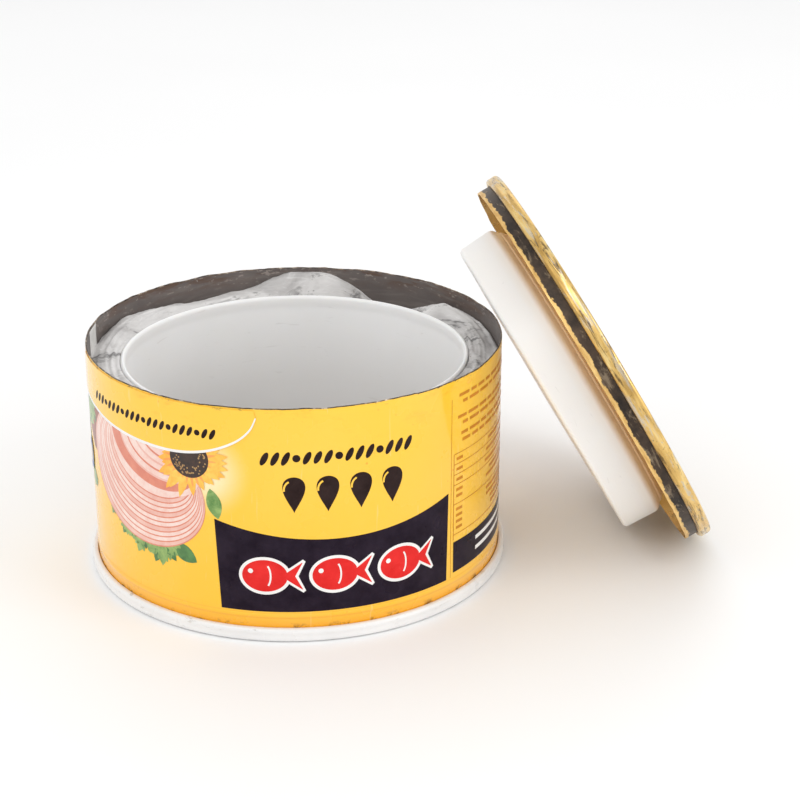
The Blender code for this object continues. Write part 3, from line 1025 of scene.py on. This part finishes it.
def facts_table(label, shift, line, dark, white):
    """The ruled table at the right, with plain dashes for its rows."""
    left, right = shift + 54.4, shift + 98
    label.ribbon([(left, 21), (left, 48.5)], 0.3, line, 1)
    for z in (48.5, 45.2, 41.9, 38.6, 32.4, 22.6):
        label.ribbon([(left, z), (right, z)], 0.25, line, 1)
    label.ribbon([(shift + 53.2, 8.9), (shift + 53.2, 66)], 0.18, line, 1)
    draw = random.Random(17)
    for z in (46.8, 43.5, 40.2, 36.9, 34.9, 30.6, 28.6, 26.6, 24.6):
        label.ribbon([(left + 1.2, z), (left + 4.2, z)], 0.9, line, 2)
        label.ribbon([(right - 20 - 6 * draw.random(), z), (right - 2, z)], 0.9, line, 2)
    for z in (66.5, 64.3, 59.8, 57.6, 54.4, 52.2):
        u = left + 1 + 3 * draw.random()
        while u < right - 6:
            word = 2 + 4 * draw.random()
            label.ribbon([(u, z), (u + word, z)], 0.95, line, 2)
            u += word + 1.1
    label.shape([(left, 10.2), (right, 10.2), (right, 20.2), (left, 20.2)], dark, 2)
    for z in (17.2, 13.8):
        label.ribbon([(left + 12, z), (right - 3, z)], 1.3, white, 3)


def stripe_panel(label, shift, dark, white, red, blue):
    """A white panel with plain stripes, and three round marks beside it."""
    left, right = shift + 106, shift + 136
    label.shape([(left, 12), (right, 12), (right, 36), (left, 36)], white, 1)
    draw = random.Random(5)
    u = left + 2
    while u < right - 2.4:
        width = 0.35 + 0.8 * draw.random()
        label.shape([(u, 15.5), (u + width, 15.5), (u + width, 34.2), (u, 34.2)], dark, 2)
        u += width + 0.45 + 0.6 * draw.random()
    for k, finish in enumerate((dark, red, blue)):
        label.shape(oval(left + 5 + 10 * k, 44, 3.6, 3.6, 36), finish, 1)
        label.shape(oval(left + 5 + 10 * k, 44, 2.5, 2.5, 36), white, 2)
        label.shape(oval(left + 5 + 10 * k, 44, 1.3, 1.3, 30), finish, 3)
    for z in (64, 61.4, 58.8, 56.2, 53.6):
        label.ribbon([(left, z), (right - 8 * draw.random(), z)], 1.0, dark, 1)


def weld_margin(label, cream, grey):
    """Outside the weld: unprinted cream margins with the grey seam between them."""
    at = -math.radians(94) * WALL_R / MM
    label.shape([(at - 3.4, 5), (at + 3.4, 5), (at + 3.4, 71.2), (at - 3.4, 71.2)], cream, 50)
    label.ribbon([(at, 5), (at, 71.2)], 0.8, grey, 51)


# ---------------------------------------------------------------- the lid


def lid_strip(finish, inside):
    """The wall left in the lid's seam, ragged at its cut edge, with its own finish inside."""
    low, high = -STRIP_END, -0.9 * MM
    rows = 14
    outer = [(WALL_R, high + (low - high) * i / rows) for i in range(rows + 1)]
    inner = [(WALL_R - 0.45 * MM, low), (WALL_R - 0.45 * MM, high)]

    def shift(point, i, angle):
        if point.z < low + 0.2 * MM:
            point.z += ragged(angle, 0.18 * MM)
        dent = 0.16 * MM * noise.noise(Vector((math.cos(angle) * 11, math.sin(angle) * 11, point.z * 500)))
        return Vector((point.x * (1 + dent / WALL_R), point.y * (1 + dent / WALL_R), point.z))

    def mark(first, second):
        return 0 if max(first[0], second[0]) > WALL_R - 0.2 * MM else 1

    piece = turned("ragged_strip", outer + inner, [finish, inside], LID_PLACE, True, mark, shift)
    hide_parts("cut_wall_strip")
    return piece


def plug(finish):
    """The plug, drawn in to a neck towards the lid, with a faint ridge round its slope."""
    wall = 1.0 * MM
    inside = PLUG_FAR - wall
    slope_z = (PLUG_NEAR + PLUG_SHOULDER) / 2
    slope_r = (PLUG_NECK_R + PLUG_R) / 2
    profile = [
        (0, -inside),
        (PLUG_FAR_R - wall - 1 * MM, -inside),
        (PLUG_FAR_R - wall, -inside + 1 * MM),
        (PLUG_R - wall, -PLUG_SHOULDER),
        (PLUG_NECK_R - wall, -PLUG_NEAR),
        (PLUG_NECK_R, -PLUG_NEAR),
        (slope_r - 0.3 * MM, -slope_z + 0.3 * MM),
        (slope_r + 0.1 * MM, -slope_z),
        (slope_r + 0.2 * MM, -slope_z - 0.5 * MM),
        (PLUG_R, -PLUG_SHOULDER),
        (PLUG_FAR_R, -PLUG_FAR + 0.8 * MM),
        (PLUG_FAR_R - 0.8 * MM, -PLUG_FAR),
        (30 * MM, -PLUG_FAR),
        (0, -PLUG_FAR),
    ]

    def shift(point, i, angle):
        sag = 0.12 * MM * noise.noise(Vector((point.x * 40, point.y * 40, 2)))
        return Vector((point.x, point.y, point.z + sag))

    piece = turned("lid_plug", softened(profile, 1.8 * MM, False), [finish], LID_PLACE, False, None, shift)
    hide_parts("plug_cap")
    return piece


# ---------------------------------------------------------------- studio


def studio(floor_finish):
    bpy.ops.mesh.primitive_plane_add(size=14, location=(0, 0, -0.0002))
    ground = bpy.context.object
    ground.name = "studio_floor"
    ground.data.materials.append(floor_finish)
    ground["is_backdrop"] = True

    world = bpy.data.worlds.new("studio")
    world.use_nodes = True
    world.node_tree.nodes["Background"].inputs["Color"].default_value = (1, 1, 1, 1)
    world.node_tree.nodes["Background"].inputs["Strength"].default_value = 0.9
    bpy.context.scene.world = world
    bpy.context.scene.view_settings.view_transform = "Standard"

    for name, place, aim, size, power in [
        ("key", (-0.55, -0.75, 0.95), (0, 0, 0.04), (0.7, 0.7), 2.6),
        ("fill", (0.85, -0.45, 0.6), (0, 0, 0.05), (0.5, 0.8), 2.6),
        ("back", (0.1, 0.9, 0.9), (0, 0, 0.05), (1.0, 0.5), 1.2),
    ]:
        lamp = bpy.data.lights.new(name, "AREA")
        lamp.shape = "RECTANGLE"
        lamp.size, lamp.size_y = size
        lamp.energy = power
        held = bpy.data.objects.new(name, lamp)
        held.location = place
        held.rotation_euler = (Vector(aim) - Vector(place)).to_track_quat("-Z", "Y").to_euler()
        bpy.context.scene.collection.objects.link(held)


def camera():
    elevation = math.radians(22)
    distance = 0.575
    target = Vector((0.0, 0.0, 0.046))
    lens = bpy.data.cameras.new("camera")
    lens.sensor_width = 36
    lens.lens = 82
    held = bpy.data.objects.new("camera", lens)
    held.location = target + distance * Vector((0, -math.cos(elevation), math.sin(elevation)))
    held.rotation_euler = (target - held.location).to_track_quat("-Z", "Y").to_euler()
    bpy.context.scene.collection.objects.link(held)
    bpy.context.scene.camera = held


# ---------------------------------------------------------------- assembly


def repaint(node, material):
    """Gives a CAD node that stays as it is its finished material."""
    mesh = frame["nodes"][node].data
    mesh.materials.clear()
    mesh.materials.append(material)


def ride(piece, body):
    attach(piece, body)


yellow = yellow_print("yellow_print", True)
swoosh_yellow = yellow_print("yellow_swoosh", False)
enamel = white_enamel()
chalk = plaster()
rosy = flaked_ink("slice_rose", (0.88, 0.56, 0.48), (0.8, 0.42, 0.34))
rosy_deep = flaked_ink("slice_deep", (0.78, 0.28, 0.18), (0.68, 0.2, 0.13))
rosy_pale = flaked_ink("slice_pale", (0.93, 0.74, 0.67), (0.87, 0.56, 0.48), grain=420)
herb = flaked_ink("herb_light", (0.36, 0.52, 0.16), (0.1, 0.24, 0.05))
herb_dark = flaked_ink("herb_dark", (0.1, 0.26, 0.07), (0.03, 0.12, 0.03))
petal = flaked_ink("petal_bright", (1.0, 0.62, 0.1), (1.0, 0.4, 0.03))
petal_shade = flaked_ink("petal_shade", (0.98, 0.42, 0.1), (0.92, 0.3, 0.06))
seeds = flaked_ink("seed_dark", (0.05, 0.02, 0.01), (0.012, 0.006, 0.004), grain=900)
seed_ring = flaked_ink("seed_ring", (0.5, 0.3, 0.11), (0.28, 0.14, 0.05), grain=900)
board = flaked_ink("board_brown", (0.34, 0.08, 0.04), (0.18, 0.035, 0.02), (1, 1, 8), 160)
panel_ink = ink("panel_ink", (0.011, 0.004, 0.014), 0.3)
red_ink = ink("red_ink", (0.76, 0.022, 0.02), 0.08)
white_ink = ink("white_ink", (0.88, 0.87, 0.85), 0.04)
brown_ink = ink("brown_ink", (0.022, 0.009, 0.008), 0.3)
table_ink = ink("table_ink", (0.62, 0.24, 0.02), 0.12)
blue_ink = ink("blue_ink", (0.05, 0.12, 0.4), 0.12)
cream_ink = ink("cream_ink", (0.82, 0.7, 0.48), 0.06)
weld_grey = ink("weld_grey", (0.3, 0.29, 0.28), 0.2)

ride(tin_wall(yellow, inner_lacquer(), rim_steel()), "tin")
flipped = TIN_PLACE @ Matrix.Rotation(math.pi, 4, "X")
lower_seam = seam("white_seam", enamel, flipped)
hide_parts("top_seam_ring")
ride(lower_seam, "tin")
lower_end = end_sheet("printed_end", [food_picture()], flipped, (46 * MM, 52.5 * MM))
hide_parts("top_end_panel")
ride(lower_end, "tin")
ride(rough_filler(chalk), "tin")
# deep is the colour of the painted shade towards the cup's floor.
cup_finish = smooth_plastic("cup_plastic", (0.94, 0.935, 0.93), (0.9, 0.895, 0.885), deep=(0.56, 0.54, 0.52))
ride(money_cup(cup_finish), "tin")
ride(weld_stripe(ink("weld_white", (0.72, 0.71, 0.69), 0.1)), "tin")

label = Print()
half_way = math.pi * WALL_R / MM
food_inks = (rosy, rosy_deep, rosy_pale, herb, herb_dark, petal, petal_shade, seeds, seed_ring, board)
for turn in (0, half_way):
    label_face(
        label, turn, swoosh_yellow, panel_ink, red_ink, white_ink, brown_ink, blue_ink, cream_ink, food_inks
    )
facts_table(label, 0, table_ink, panel_ink, white_ink)
stripe_panel(label, -251, panel_ink, white_ink, red_ink, blue_ink)
weld_margin(label, cream_ink, weld_grey)
ride(label.done(), "tin")

gold = gold_panel()
upper_seam = seam("gold_seam", worn_gold(), LID_PLACE, 3)
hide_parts("base_seam_ring")
ride(upper_seam, "lid")
upper_end = end_sheet("gold_end", [gold], LID_PLACE, (40 * MM, 47 * MM, 53 * MM))
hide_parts("base_end_panel")
ride(upper_end, "lid")
ride(lid_strip(cut_strip(), gold), "lid")
# The last colour is painted warm light reflected from the gold near the lid.
plug_finish = smooth_plastic("plug_plastic", (0.96, 0.94, 0.91), (0.95, 0.91, 0.86), (1.0, 0.62, 0.28))
ride(plug(plug_finish), "lid")

sealant = soft_compound("sealant", (0.6, 0.58, 0.54), (0.42, 0.4, 0.37))
repaint("plaster_bed", chalk)
repaint("top_seam_compound", sealant)
repaint("base_seam_compound", sealant)
repaint("glue_ring", soft_compound("set_glue", (0.78, 0.68, 0.48), (0.6, 0.48, 0.3)))

studio(studio_floor())
camera()

boxes = [[[float(value) for value in corner] for corner in box] for box in (cad_box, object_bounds())]
